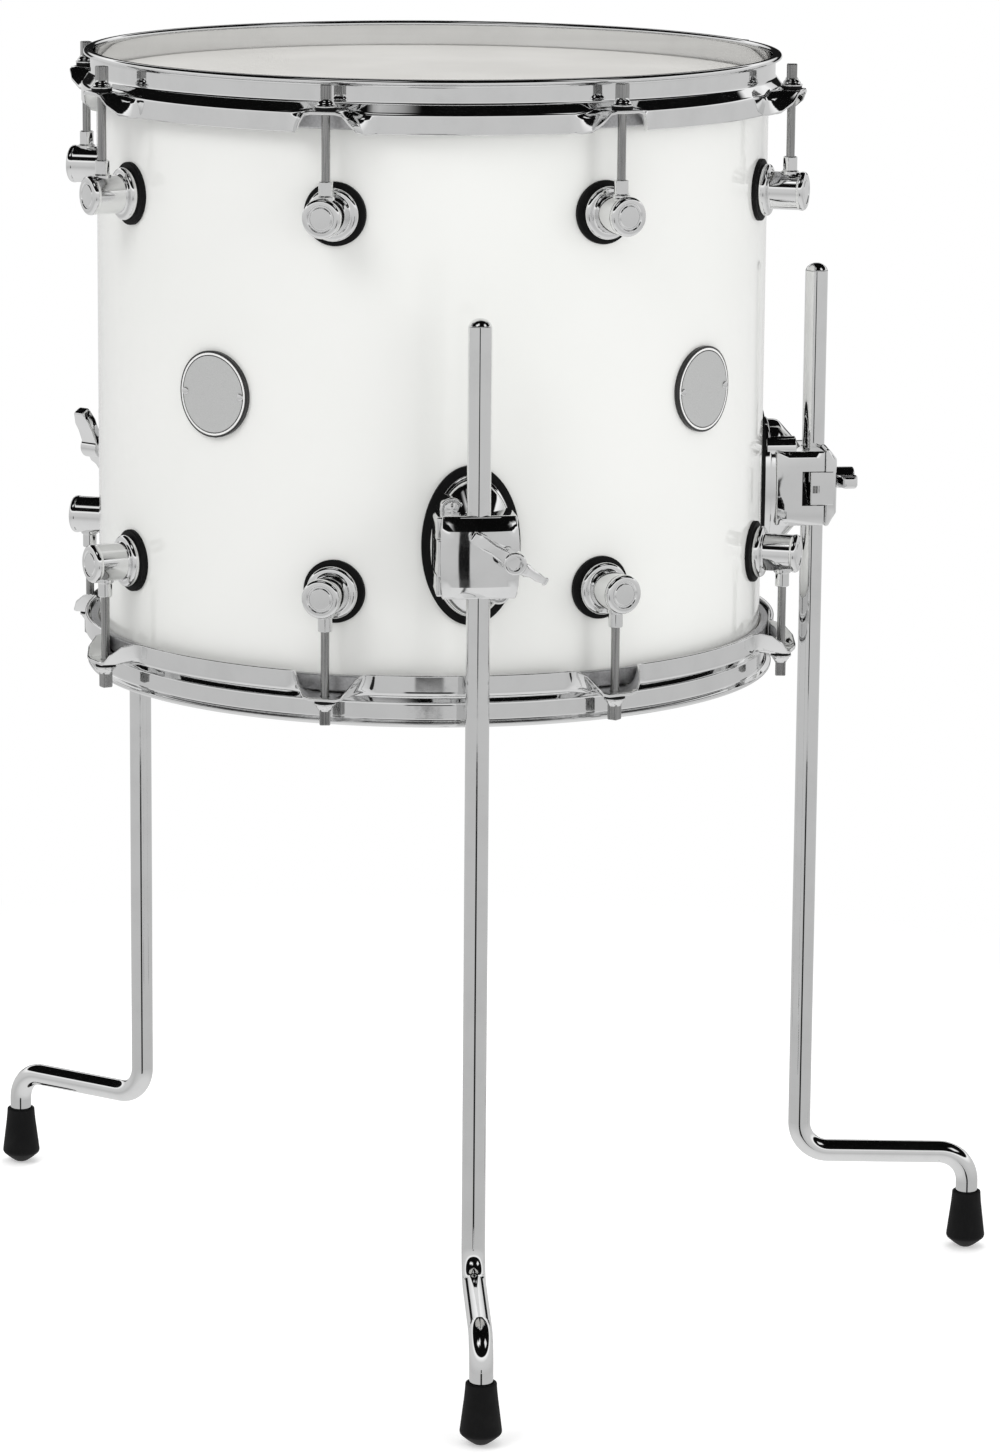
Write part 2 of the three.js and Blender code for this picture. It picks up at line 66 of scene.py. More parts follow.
class Shade:
    """One output of a shader node. Arithmetic on it adds Math nodes."""

    def __init__(self, tree, socket=None):
        self.tree = tree
        self.socket = socket

    def node(self, kind, sockets=None, output=0, stops=None, **settings):
        """Adds a node of that kind: its settings first, then the values or links of its sockets."""
        made = self.tree.nodes.new("ShaderNode" + kind)
        for setting, value in settings.items():
            setattr(made, setting, value)
        if stops:
            elements = made.color_ramp.elements
            elements.remove(elements[0])
            elements[0].position, elements[0].color = stops[0][0], (*[stops[0][1]] * 3, 1)
            for place, level in stops[1:]:
                elements.new(place).color = (*[level] * 3, 1)
        for key, value in (sockets or {}).items():
            if isinstance(value, Shade):
                self.tree.links.new(value.socket, made.inputs[key])
            else:
                made.inputs[key].default_value = value
        return Shade(self.tree, made.outputs[output] if made.outputs else None)

    def maths(self, operation, first, second=0.0):
        return self.node("Math", {0: first, 1: second}, operation=operation)

    def __add__(self, other):
        return self.maths("ADD", self, other)

    def __radd__(self, other):
        return self.maths("ADD", other, self)

    def __sub__(self, other):
        return self.maths("SUBTRACT", self, other)

    def __rsub__(self, other):
        return self.maths("SUBTRACT", other, self)

    def __mul__(self, other):
        return self.maths("MULTIPLY", self, other)

    def __rmul__(self, other):
        return self.maths("MULTIPLY", other, self)

    def between(self, low, high):
        """0 at low and 1 at high, eased."""
        return self.node(
            "MapRange", {"Value": self, "From Min": low, "From Max": high}, interpolation_type="SMOOTHSTEP"
        )

    def blend(self, first, second):
        """From the first colour to the second as this goes from 0 to 1."""
        return self.node("Mix", {0: self, 6: (*first, 1), 7: (*second, 1)}, output=2, data_type="RGBA")


def finish(name, **constants):
    """A material with its constants set on the shader, and a Shade on the object's own coordinates."""
    made = bpy.data.materials.new(name)
    made.use_nodes = True
    surface = made.node_tree.nodes["Principled BSDF"]
    for socket, value in constants.items():
        surface.inputs[socket.replace("_", " ")].default_value = value
    places = Shade(made.node_tree).node("TexCoord", output="Object")
    return made, surface, places


def feed(surface, **links):
    """Links shades to the sockets of a material's shader."""
    for socket, shade in links.items():
        shade.tree.links.new(shade.socket, surface.inputs[socket.replace("_", " ")])


def wire(points, closed=False):
    """A line of (radius, height) points. A third number rounds that corner."""
    shape = bmesh.new()
    corners = [shape.verts.new((point[0], 0, point[1])) for point in points]
    for near, far in zip(corners, corners[1:] + corners[:1] if closed else corners[1:]):
        shape.edges.new((near, far))
    for corner, point in zip(corners, points):
        if len(point) > 2:
            bmesh.ops.bevel(
                shape, geom=[corner], offset=point[2], segments=corner_steps, profile=0.5,
                affect="VERTICES", material=-1,
            )
    return shape


def turned(points, sides, closed=False):
    """That line turned full circle round Z."""
    shape = wire(points, closed)
    bmesh.ops.spin(
        shape, geom=shape.verts[:] + shape.edges[:], cent=(0, 0, 0), axis=(0, 0, 1), dvec=(0, 0, 0),
        angle=math.tau, steps=sides, use_merge=True, use_duplicate=False,
    )
    return tidied(shape)


def tidied(shape):
    """Joins points that meet, and turns the faces outward."""
    bmesh.ops.remove_doubles(shape, verts=shape.verts, dist=0.0005)
    bmesh.ops.recalc_face_normals(shape, faces=shape.faces)
    return shape


def outward(shape, height, across=0.0):
    """Points a shape's Z axis out from the shell's front, with its origin on the lacquer."""
    bmesh.ops.rotate(shape, verts=shape.verts, cent=(0, 0, 0), matrix=Matrix.Rotation(math.pi / 2, 3, "X"))
    bmesh.ops.translate(shape, verts=shape.verts, vec=(across, -shell_radius, height))
    return shape


def upright(shape, depth, height=0.0, across=0.0):
    """Moves a shape turned round Z to a depth in front of the shell."""
    bmesh.ops.translate(shape, verts=shape.verts, vec=(across, -shell_radius - depth, height))
    return shape


def swung(shape, angle, centre=(0, 0, 0)):
    """Turns a shape about an upright line, by an angle in degrees."""
    bmesh.ops.rotate(
        shape, verts=shape.verts, cent=centre, matrix=Matrix.Rotation(math.radians(angle), 3, "Z")
    )
    return shape


def placed(shape, angle):
    """Turns a shape round the drum, and gives it its real size and place."""
    swung(shape, angle)
    bmesh.ops.scale(shape, verts=shape.verts, vec=(METRE, METRE, METRE))
    bmesh.ops.translate(shape, verts=shape.verts, vec=drum_axis)
    return shape


def cut(shape, *cutters):
    """The shape less the cutters, all in millimetres."""
    held = []
    for part in (shape, *cutters):
        mesh = bpy.data.meshes.new("blank")
        part.to_mesh(mesh)
        part.free()
        held.append(bpy.data.objects.new("blank", mesh))
        bpy.context.scene.collection.objects.link(held[-1])
    for cutter in held[1:]:
        step = held[0].modifiers.new("cut", "BOOLEAN")
        step.operation, step.solver, step.object = "DIFFERENCE", "EXACT", cutter
    made = bpy.data.meshes.new_from_object(held[0].evaluated_get(bpy.context.evaluated_depsgraph_get()))
    result = bmesh.new()
    result.from_mesh(made)
    for blank in held:
        bpy.data.objects.remove(blank)
    bpy.data.meshes.remove(made)
    return result


def piece(name, shape, material, body, nodes=(), angle=0.0, crease=32):
    """Makes a named piece of the object from a shape in millimetres, and fixes it to its body."""
    mesh = bpy.data.meshes.new(name)
    placed(shape, angle).to_mesh(mesh)
    shape.free()
    mesh.polygons.foreach_set("use_smooth", [True] * len(mesh.polygons))
    mesh.set_sharp_from_angle(angle=math.radians(crease))
    mesh.materials.append(material)
    made = bpy.data.objects.new(name, mesh)
    bpy.context.scene.collection.objects.link(made)
    made.modifiers.new("flats", "WEIGHTED_NORMAL").keep_sharp = True
    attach(made, body)
    if nodes:
        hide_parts(*nodes)
    return made


def rod(radius, start, end, sides=24):
    """A plain cylinder on Z, for cutting holes."""
    return turned([(0, start), (radius, start), (radius, end), (0, end)], sides)


lacquer, surface, places = finish(
    "white_lacquer", Coat_Weight=0.6, Coat_Roughness=0.03, IOR=1.5, Specular_IOR_Level=0.4
)
tone = places.node("TexNoise", {"Vector": places, "Scale": 6.0, "Detail": 2.0})
peel = places.node("TexNoise", {"Vector": places, "Scale": 260.0, "Detail": 1.0})
feed(
    surface,
    Base_Color=tone.between(0.3, 0.7).blend((0.872, 0.878, 0.852), (0.888, 0.89, 0.868)),
    Roughness=0.1 + 0.05 * tone,
    Normal=places.node("Bump", {"Height": peel, "Strength": 0.12, "Distance": 0.00004}),
)
shell_inner = shell_radius - shell_wall
shell_outline = [
    (shell_radius, shell_bottom, shell_edge_round), (shell_radius, shell_top, shell_edge_round),
    (shell_radius - shell_edge_round - 0.6, shell_top, 0.6), (shell_inner, shell_top - shell_bevel),
    (shell_inner, shell_bottom + shell_bevel), (shell_radius - shell_edge_round - 0.6, shell_bottom, 0.6),
]
vent_cutter = swung(outward(rod(vent_hole_radius, -3 * shell_wall, shell_wall, 32), shell_middle), vent_angle)
piece("shell_body", cut(turned(shell_outline, shell_sides, True), vent_cutter), lacquer, "drum",
      ["shell"])

# Heads: a coated polyester film on the batter side and the same on the resonant side. Each is
# turned down over the bearing edge and crimped in its flesh hoop.
film_thickness = 0.7
film_gap = 0.4
film_radius = shell_radius + film_gap + film_thickness
film_flat = shell_radius - 12
collar_depth = 12
flesh_width = 4.6
flesh_height = 9.6
hoop_sheet = 2.1
rim_rise = 16
wall_height = 17
rim_top = shell_top + rim_rise
shoulder_top = rim_top - wall_height
flesh_top = shoulder_top - hoop_sheet - 0.3


def flipped(shape):
    """The same shape at the other end of the drum."""
    bmesh.ops.scale(shape, verts=shape.verts, vec=(1, 1, -1))
    bmesh.ops.translate(shape, verts=shape.verts, vec=(0, 0, 2 * shell_middle))
    bmesh.ops.reverse_faces(shape, faces=shape.faces)
    return shape


def unflipped(shape):
    """The same shape where it is."""
    return shape


film, surface, places = finish("coated_film", Specular_IOR_Level=0.35)
grain = places.node("TexNoise", {"Vector": places, "Scale": 1400.0, "Detail": 3.0, "Roughness": 0.7})
cloud = places.node("TexNoise", {"Vector": places, "Scale": 14.0, "Detail": 3.0})
mottle = cloud * 0.7 + grain * 0.3
feed(
    surface,
    Base_Color=mottle.between(0.35, 0.65).blend((0.60, 0.59, 0.565), (0.655, 0.645, 0.62)),
    Roughness=0.42 + 0.18 * grain,
    Normal=places.node("Bump", {"Height": grain, "Strength": 0.35, "Distance": 0.00012}),
)
aluminium, surface, places = finish("cast_aluminium", Metallic=1.0)
grain = places.node("TexNoise", {"Vector": places, "Scale": 700.0, "Detail": 4.0})
feed(
    surface,
    Base_Color=grain.between(0.3, 0.7).blend((0.5, 0.5, 0.51), (0.62, 0.62, 0.63)),
    Roughness=0.34 + 0.2 * grain,
    Normal=places.node("Bump", {"Height": grain, "Strength": 0.2, "Distance": 0.0001}),
)
film_top = shell_top + film_gap + film_thickness
head_outline = [
    (0, film_top), (film_flat, film_top), (film_radius, film_top, shell_edge_round + 1),
    (film_radius, film_top - collar_depth), (film_radius - film_thickness, film_top - collar_depth),
    (film_radius - film_thickness, film_top - film_thickness, shell_edge_round),
    (film_flat, film_top - film_thickness), (0, film_top - film_thickness),
]
flesh_outline = [
    (film_radius + 0.1, flesh_top, 0.8), (film_radius + flesh_width, flesh_top, 1.2),
    (film_radius + flesh_width, flesh_top - flesh_height, 1.2),
    (film_radius + 0.1, flesh_top - flesh_height, 0.8),
]
head_sides = {"batter": unflipped, "resonant": flipped}
for side, place in head_sides.items():
    piece(f"{side}_film", place(turned(head_outline, 192)), film, "drum", [f"{side}_head"])
    piece(f"{side}_flesh_ring", place(turned(flesh_outline, 192, True)), aluminium, "drum",
          [f"{side}_flesh_hoop"])

# Hoops: triple-flanged steel, chromed. The rim turns out, the wall stands on a shoulder over
# the flesh hoop, and the skirt below it swings out into an ear with a hole at each lug.
lug_count = 8
lug_angles = [(i + 0.5) * 360 / lug_count for i in range(lug_count)]
wall_inner = film_radius + 0.6
wall_outer = wall_inner + hoop_sheet
rim_outer = wall_outer + 3.9
skirt_inner = film_radius + flesh_width + 1.2
skirt_outer = skirt_inner + hoop_sheet
skirt_depth = 14
skirt_fold = 4.6
skirt_rows = 7
shoulder_fall = 2.2
rim_edge = 2.8
ear_reach = 16.8
ear_flat_angle = 2.3
ear_end_angle = 6.6
ear_hole_radius = 3.1
skirt_corner_round = 1.5
rod_standoff = 18.5
hoop_sides = 384

chrome, surface, places = finish("chrome_plate", Metallic=1.0)
smudge = places.node("TexNoise", {"Vector": places, "Scale": 38.0, "Detail": 4.0, "Roughness": 0.6})
ripple = places.node("TexNoise", {"Vector": places, "Scale": 120.0, "Detail": 1.0})
feed(
    surface,
    Base_Color=smudge.between(0.35, 0.75).blend((0.77, 0.772, 0.772), (0.73, 0.732, 0.732)),
    Roughness=0.035 + 0.07 * smudge.between(0.45, 0.8),
    Normal=places.node("Bump", {"Height": ripple, "Strength": 0.06, "Distance": 0.00005}),
)


def hoop_shape():
    """The hoop's outline turned full circle, with its skirt swung out into ears at the lugs."""
    step = (skirt_depth - 1 - skirt_fold) / (skirt_rows - 1)
    skirt = [(skirt_outer, shoulder_top - skirt_fold - i * step) for i in range(skirt_rows)]
    lining = [(skirt_inner, z) for _, z in skirt]
    outline = [
        (wall_inner, rim_top, 1.8), (rim_outer, rim_top, 1.9), (rim_outer, rim_top - rim_edge, 0.6),
        (wall_outer, rim_top - rim_edge - 0.5, 1.2), (wall_outer, rim_top - rim_edge - 2.1),
        (wall_outer, shoulder_top + 4.7), (wall_outer, shoulder_top + 3.0, 1.2),
        (skirt_outer, shoulder_top), *skirt, (skirt_outer, shoulder_top - skirt_depth, 0.7),
        (skirt_inner, shoulder_top - skirt_depth, 0.7), *reversed(lining),
        (skirt_inner, shoulder_top - hoop_sheet), (wall_inner, shoulder_top - hoop_sheet, 0.9),
        (wall_inner, shoulder_top + 1.0), (wall_inner, rim_top - 3.6),
    ]
    shape = turned(outline, hoop_sides, True)
    corners = set()
    for vert in shape.verts:
        radius = math.hypot(vert.co.x, vert.co.y)
        drop = shoulder_top - vert.co.z
        angle = math.degrees(math.atan2(vert.co.x, -vert.co.y))
        away = abs((angle + 180 / lug_count) % (360 / lug_count) - 180 / lug_count)
        away = abs(away - 180 / lug_count)
        lift = 1 - min(max((away - ear_flat_angle) / (ear_end_angle - ear_flat_angle), 0), 1)
        lift = lift * lift * (3 - 2 * lift)
        if radius > skirt_outer - 0.1 and drop < 0.1:
            vert.co.z -= shoulder_fall * (1 - lift)
            corners.add(vert)
        if radius < skirt_inner - 0.1 or drop < skirt_fold - 0.1:
            continue
        inset = skirt_outer - radius
        length = drop + (ear_reach - skirt_depth) * lift * (drop / skirt_depth)
        swing = lift * math.pi / 2
        new_radius = skirt_outer + length * math.sin(swing) - inset * math.cos(swing)
        new_height = shoulder_top - length * math.cos(swing) - inset * math.sin(swing)
        scale = new_radius / radius
        vert.co = (vert.co.x * scale, vert.co.y * scale, new_height)
    corner = [edge for edge in shape.edges if corners.issuperset(edge.verts)]
    bmesh.ops.bevel(
        shape, geom=corner, offset=skirt_corner_round, segments=5, profile=0.5, affect="EDGES", material=-1
    )
    drills = []
    for angle in lug_angles:
        drill = upright(rod(ear_hole_radius, shoulder_top - 9, shoulder_top + 6), rod_standoff)
        drills.append(swung(drill, angle))
    return cut(shape, *drills)


for side, place in head_sides.items():
    piece(f"{side}_rim", place(hoop_shape()), chrome, "drum", [f"{side}_hoop"], crease=40)

# Lugs: each is a turned and chromed casting with a flange, a neck and a barrel, screwed through
# a black rubber gasket. A swivel nut stands in the barrel and takes the tension rod.
lug_setback = 61.4
lug_height = shell_top - lug_setback
gasket_radius = 18.4
gasket_thickness = 2.6
swivel_radius = 4.2
barrel_radius = 11.2
swivel_top = lug_height + barrel_radius + 9.2
lug_sides = 96

rubber, surface, places = finish("black_rubber", Specular_IOR_Level=0.2)
grain = places.node("TexNoise", {"Vector": places, "Scale": 900.0, "Detail": 3.0})
dust = places.node("TexNoise", {"Vector": places, "Scale": 60.0, "Detail": 4.0})
feed(
    surface,
    Base_Color=dust.between(0.45, 0.8).blend((0.003, 0.003, 0.0033), (0.007, 0.007, 0.007)),
    Roughness=0.55 + 0.2 * grain,
    Normal=places.node("Bump", {"Height": grain, "Strength": 0.3, "Distance": 0.00015}),
)
steel, surface, places = finish("bright_steel", Metallic=1.0)
drawn = places.node("TexNoise", {
    "Vector": places.node("Mapping", {"Vector": places, "Scale": (1800.0, 1800.0, 30.0)}), "Scale": 1.0,
    "Detail": 2.0,
})
feed(
    surface,
    Base_Color=drawn.between(0.3, 0.7).blend((0.26, 0.26, 0.26), (0.42, 0.42, 0.415)),
    Roughness=0.2 + 0.14 * drawn,
    Normal=places.node("Bump", {"Height": drawn, "Strength": 0.12, "Distance": 0.00005}),
)


def wrapped(shape):
    """Bends an outward-facing disc to the curve of the shell."""
    for vert in shape.verts:
        reach = -vert.co.y
        vert.co.y = -math.sqrt(reach * reach - vert.co.x * vert.co.x)
    return shape


lug_outline = [
    (0, 0.5), (14.6, 0.5), (15.4, gasket_thickness - 0.2), (15.4, 7.0, 1.9), (11.9, 7.5, 0.4),
    (11.2, 8.3, 0.3), (11.2, 24.8, 0.5), (11.5, 25.6, 0.3), (11.5, 28.8, 2.2), (8.0, 28.8, 0.3),
    (7.5, 28.1, 0.25), (6.6, 28.1, 0.25), (6.1, 28.7, 0.3), (0, 28.8),
]
swivel_outline = [
    (0, lug_height), (5.2, lug_height), (5.2, lug_height + barrel_radius + 0.6, 0.4),
    (swivel_radius, lug_height + barrel_radius + 1.1, 0.2), (swivel_radius, swivel_top, 0.7),
    (2.7, swivel_top, 0.2), (2.7, swivel_top - 2.5), (0, swivel_top - 2.5),
]
gasket_outline = [
    (0, -1), (gasket_radius, -1), (gasket_radius, gasket_thickness, 0.8), (0, gasket_thickness),
]
for i, angle in enumerate(lug_angles):
    for side, place in (("upper", unflipped), ("lower", flipped)):
        node = f"{side}_lug_{i + 1}"
        piece(f"{node}_casting", place(outward(turned(lug_outline, lug_sides), lug_height)), chrome, "drum",
              [node], angle)
        gasket = wrapped(outward(turned(gasket_outline, lug_sides), lug_height))
        piece(f"{node}_gasket", place(gasket), rubber, "drum", (), angle)
        piece(f"{node}_swivel", place(upright(turned(swivel_outline, 48), rod_standoff)), chrome, "drum",
              (), angle)

# Tension rods: drawn steel with a square key head over a flared and chromed collar, and a black
# nylon washer between the collar and the hoop's ear.
rod_radius = 2.5
rod_end = lug_height - 4
washer_bottom = shoulder_top + 0.05
washer_top = washer_bottom + 1.7
shaft_outline = [
    (0, rod_end), (rod_radius, rod_end, 0.4), (rod_radius, washer_bottom + 3), (0, washer_bottom + 3),
]
washer_outline = [(2.6, washer_bottom), (6.1, washer_bottom, 0.3), (6.1, washer_top, 0.3), (2.6, washer_top)]
collar_outline = [
    (0, washer_bottom + 1.75), (6.4, washer_bottom + 1.75, 0.25), (6.4, washer_bottom + 2.7, 0.35),
    (5.4, washer_bottom + 3.0, 0.3), (5.0, washer_bottom + 4.2, 0.5), (3.9, washer_bottom + 5.4, 0.4),
    (3.6, washer_bottom + 6.4), (0, washer_bottom + 6.4),
]
key_half = 3.1
key_round = 0.7
key_low = shoulder_top + 5.2
key_high = shoulder_top + 14.7
key_turns = [12, 40, 25, 8, 33, 0, 18, 28]


def key_shape(turn):
    """The square head that a drum key fits, turned by an angle in degrees."""
    shape = bmesh.new()
    bmesh.ops.create_cube(shape, size=1)
    bmesh.ops.scale(shape, verts=shape.verts, vec=(2 * key_half, 2 * key_half, key_high - key_low))
    bmesh.ops.bevel(
        shape, geom=shape.edges[:], offset=key_round, segments=3, profile=0.5, affect="EDGES", material=-1
    )
    return upright(swung(shape, turn), rod_standoff, (key_low + key_high) / 2)


for i, angle in enumerate(lug_angles):
    for side, place in head_sides.items():
        node, body = f"{side}_tension_rod_{i + 1}", f"{side}_rod_{i + 1}"
        piece(f"{node}_shaft", place(upright(turned(shaft_outline, 32), rod_standoff)), steel, body,
              [node], angle)
        piece(f"{node}_collar", place(upright(turned(collar_outline, 48), rod_standoff)), chrome, body,
              (), angle)
        piece(f"{node}_washer", place(upright(turned(washer_outline, 48, True), rod_standoff)), rubber, body,
              (), angle)
        piece(f"{node}_key", place(key_shape(key_turns[i])), steel, body, (), angle)

# Badges: a blank satin aluminium disc on a black backing, with a white and a black ring round
# its rim, held by two small pins.
badge_radius = 25.3
badge_thickness = 3.0
pin_offset = 20.6
pin_radius = 2.3

badge_face, surface, places = finish("satin_badge", Metallic=0.75)
grain = places.node("TexNoise", {"Vector": places, "Scale": 2200.0, "Detail": 2.0})
feed(
    surface,
    Base_Color=grain.between(0.3, 0.7).blend((0.62, 0.625, 0.62), (0.70, 0.705, 0.70)),
    Roughness=0.34 + 0.16 * grain,
    Normal=places.node("Bump", {"Height": grain, "Strength": 0.1, "Distance": 0.00005}),
)
white_enamel, surface, places = finish("white_enamel", Coat_Weight=0.3)
speck = places.node("TexNoise", {"Vector": places, "Scale": 500.0})
feed(
    surface,
    Base_Color=speck.blend((0.84, 0.84, 0.83), (0.9, 0.9, 0.89)),
    Roughness=0.25 + 0.1 * speck,
)
black_enamel, surface, places = finish("black_enamel", Coat_Weight=0.3)
speck = places.node("TexNoise", {"Vector": places, "Scale": 500.0})
feed(
    surface,
    Base_Color=speck.blend((0.008, 0.008, 0.008), (0.015, 0.015, 0.015)),
    Roughness=0.3 + 0.15 * speck,
)
badge_parts = [
    ("backing", [(0, -1), (badge_radius - 0.2, -1), (badge_radius - 0.2, 1.3, 0.2), (0, 1.3)], black_enamel),
    ("edge", [(0, 1.2), (badge_radius - 0.7, 1.2), (badge_radius - 0.7, 1.5), (badge_radius, 1.6, 0.2),
              (badge_radius, badge_thickness, 0.5), (24.0, badge_thickness, 0.1), (0, badge_thickness - 0.2)],
     black_enamel),
    ("ring", [(22.9, 2.5), (24.05, 2.5), (24.05, badge_thickness + 0.02), (22.9, badge_thickness + 0.02)],
     white_enamel),
    ("face", [(0, 2.5), (22.3, 2.5), (22.3, badge_thickness + 0.06, 0.05), (0, badge_thickness + 0.06)],
     badge_face),
]
for node, angle in (("badge_front", 0), ("badge_left", -90)):
    for part, outline, material in badge_parts:
        shape = wrapped(outward(turned(outline, 128, part == "ring"), shell_middle))
        piece(f"{node}_{part}", shape, material, "drum", [node] if part == "face" else (), angle)
    for side, across in (("left", -pin_offset), ("right", pin_offset)):
        depth = badge_thickness - across * across / (2 * shell_radius)
        head = turned(
            [(0, depth - 1), (pin_radius, depth - 1), (pin_radius, depth + 0.7, 0.6), (0, depth + 1.0)], 32
        )
        piece(f"{node}_pin_{side}", outward(head, shell_middle, across), chrome, "drum", (), angle)

# Vent grommet: a nickelled brass eyelet, pushed through the hole in the shell and spun over on
# both sides of the wall.
nickel, surface, places = finish("nickelled_brass", Metallic=1.0)
smudge = places.node("TexNoise", {"Vector": places, "Scale": 90.0, "Detail": 3.0})
feed(
    surface,
    Base_Color=smudge.blend((0.62, 0.6, 0.55), (0.72, 0.7, 0.66)),
    Roughness=0.14 + 0.14 * smudge,
)
vent_outline = [
    (5.0, 1.8, 0.8), (8.5, 1.8, 0.9), (8.5, 0.1, 0.3), (6.2, 0.1), (6.2, -shell_wall - 0.1),
    (7.4, -shell_wall - 0.1, 0.3), (7.4, -shell_wall - 1.0, 0.4), (5.0, -shell_wall - 1.0, 0.4),
]
piece("vent_eyelet", outward(turned(vent_outline, 64, True), shell_middle), nickel, "drum",
      ["vent_grommet"], vent_angle)

# Leg brackets: a cast oval foot, domed and chromed, on a rubber gasket. Its block carries the
# groove for the leg, the hinge pin and notch on one side, and the screw's hole on the other.
leg_places = [("front_left", -45), ("front_right", 45), ("rear", 180)]
bracket_height = shell_middle - 80.5
leg_standoff = 35
leg_radius = 6.9
clearance = 0.3
overrun = 3
block_left, block_right = -24.5, 22.2
block_low, block_high = bracket_height - 23, bracket_height + 23
block_back, block_depth = 8, 38.2
block_round = 1.3
flank_depth, flank_narrowing, flank_inset = 15.8, 0.45, 0.4
hinge_across, hinge_depth, hinge_pin_radius = -21.3, 32.5, 2.0
tongue_width = 6.1
tongue_low, tongue_high = bracket_height - 10.3, bracket_height + 10.3
notch_depth, notch_slant = 8.3, 8.5
screw_across, screw_hole_radius, screw_hole_floor = 17.4, 3.9, 23.6
screw_places = {"high": (-13.7, 24.3), "low": (13.7, -24.3)}
screw_slot = 1.4
screw_outline = [
    (0, 3), (6.9, 3), (6.9, 21.2, 1.0), (5.5, 21.2, 0.3), (5.2, 19.8, 0.2), (4.9, 19.8, 0.2),
    (4.6, 21.0, 0.6), (0, 21.8),
]
bracket_gasket_width, bracket_gasket_height = 57.3, 93
bracket_gasket_outline = [(0, -1), (1, -1), (1, gasket_thickness), (0, gasket_thickness)]
dish_width, dish_height = 48.5, 83.5
dish_outline = [
    (0, 0), (1, 0), (1, 4.2), (0.985, 5.2), (0.96, 5.7), (0.955, 9.5), (0.945, 11.8), (0.92, 13.4),
    (0.86, 15.7), (0.62, 24.6), (0.56, 26.4), (0.5, 27.2), (0, 27.3),
]


def oval(points, width, height):
    """A unit profile of (share, depth) turned, then stretched to an oval on the shell's front."""
    shape = turned(points, 128)
    bmesh.ops.scale(shape, verts=shape.verts, vec=(width / 2, height / 2, 1))
    return outward(shape, bracket_height)


def bar(left, right, inner, outer, low, high, soft=0.0):
    """A block between two places across, two depths and two heights. Its edges may be soft."""
    shape = bmesh.new()
    bmesh.ops.create_cube(shape, size=1)
    bmesh.ops.scale(shape, verts=shape.verts, vec=(right - left, outer - inner, high - low))
    if soft:
        bmesh.ops.bevel(
            shape, geom=shape.edges[:], offset=soft, segments=3, profile=0.5, affect="EDGES", material=-1
        )
    return upright(shape, (inner + outer) / 2, (low + high) / 2, (left + right) / 2)


def soften(shape, offset, steps=4, angle=20):
    """Rounds the edges of a shape that are sharper than an angle in degrees."""
    sharp = [edge for edge in shape.edges if edge.calc_face_angle(0) > math.radians(angle)]
    bmesh.ops.bevel(
        shape, geom=sharp, offset=offset, segments=steps, profile=0.5, affect="EDGES", material=-1
    )
    return shape


def block_shape():
    """The block on the foot: full width in front, and drawn in to the oval behind its flanks."""
    shape = bar(block_left, block_right, block_back, block_depth, block_low, block_high)
    uprights = [edge for edge in shape.edges if abs(edge.verts[0].co.z - edge.verts[1].co.z) > 1]
    bmesh.ops.subdivide_edges(shape, edges=uprights, cuts=9, use_grid_fill=True)
    bmesh.ops.bisect_plane(
        shape, geom=shape.verts[:] + shape.edges[:] + shape.faces[:],
        plane_co=(0, -shell_radius - flank_depth, 0), plane_no=(0, 1, 0),
    )
    for vert in shape.verts:
        if -vert.co.y - shell_radius < flank_depth - 1:
            rise_share = (vert.co.z - bracket_height) / (dish_height / 2)
            limit = dish_width / 2 * math.sqrt(1 - flank_narrowing * rise_share ** 2) - flank_inset
            vert.co.x = min(max(vert.co.x, -limit), limit)
    return soften(shape, block_round, 3, 30)


def notch_shape():
    """The notch for the jaw's tongue, with a floor that slants in towards its top."""
    shape = bar(
        block_left - overrun, hinge_across + tongue_width / 2 + 0.8, hinge_depth - notch_depth,
        block_depth + overrun, tongue_low - clearance, tongue_high + clearance,
    )
    for vert in shape.verts:
        if vert.co.x > hinge_across and vert.co.z > bracket_height:
            vert.co.x += notch_slant
    return shape


def screw_shape(across, level):
    """A countersunk screw head in its boss, with a slot across it."""
    head = outward(turned(screw_outline, 48), bracket_height + level, across)
    slot = bar(-screw_slot / 2, screw_slot / 2, 19.4, 26, -4.5, 4.5)
    return cut(head, upright(slot, -shell_radius, bracket_height + level, across))


for name, angle in leg_places:
    gasket = wrapped(oval(bracket_gasket_outline, bracket_gasket_width, bracket_gasket_height))
    piece(f"bracket_{name}_gasket", gasket, rubber, "drum", (), angle)
    dish = oval(dish_outline, dish_width, dish_height)
    piece(f"bracket_{name}_foot", dish, chrome, "drum", [f"bracket_base_{name}"], angle, crease=50)
    groove = rod(leg_radius + clearance, block_low - overrun, block_high + overrun, 48)
    groove = upright(groove, leg_standoff)
    slot = bar(
        -leg_radius - clearance, leg_radius + clearance, leg_standoff, block_depth + overrun,
        block_low - overrun, block_high + overrun,
    )
    hole = rod(screw_hole_radius, screw_hole_floor, block_depth + overrun)
    hole = outward(hole, bracket_height, screw_across)
    block = cut(block_shape(), groove, slot, notch_shape(), hole)
    piece(f"bracket_{name}_block", block, chrome, "drum", (), angle)
    pin = upright(rod(hinge_pin_radius, block_low + 2, block_high - 2, 32), hinge_depth, 0, hinge_across)
    piece(f"bracket_{name}_hinge_pin", pin, steel, "drum", (), angle)
    for place, (across, level) in screw_places.items():
        piece(f"bracket_{name}_screw_{place}", screw_shape(across, level), chrome, "drum", (),
              angle)

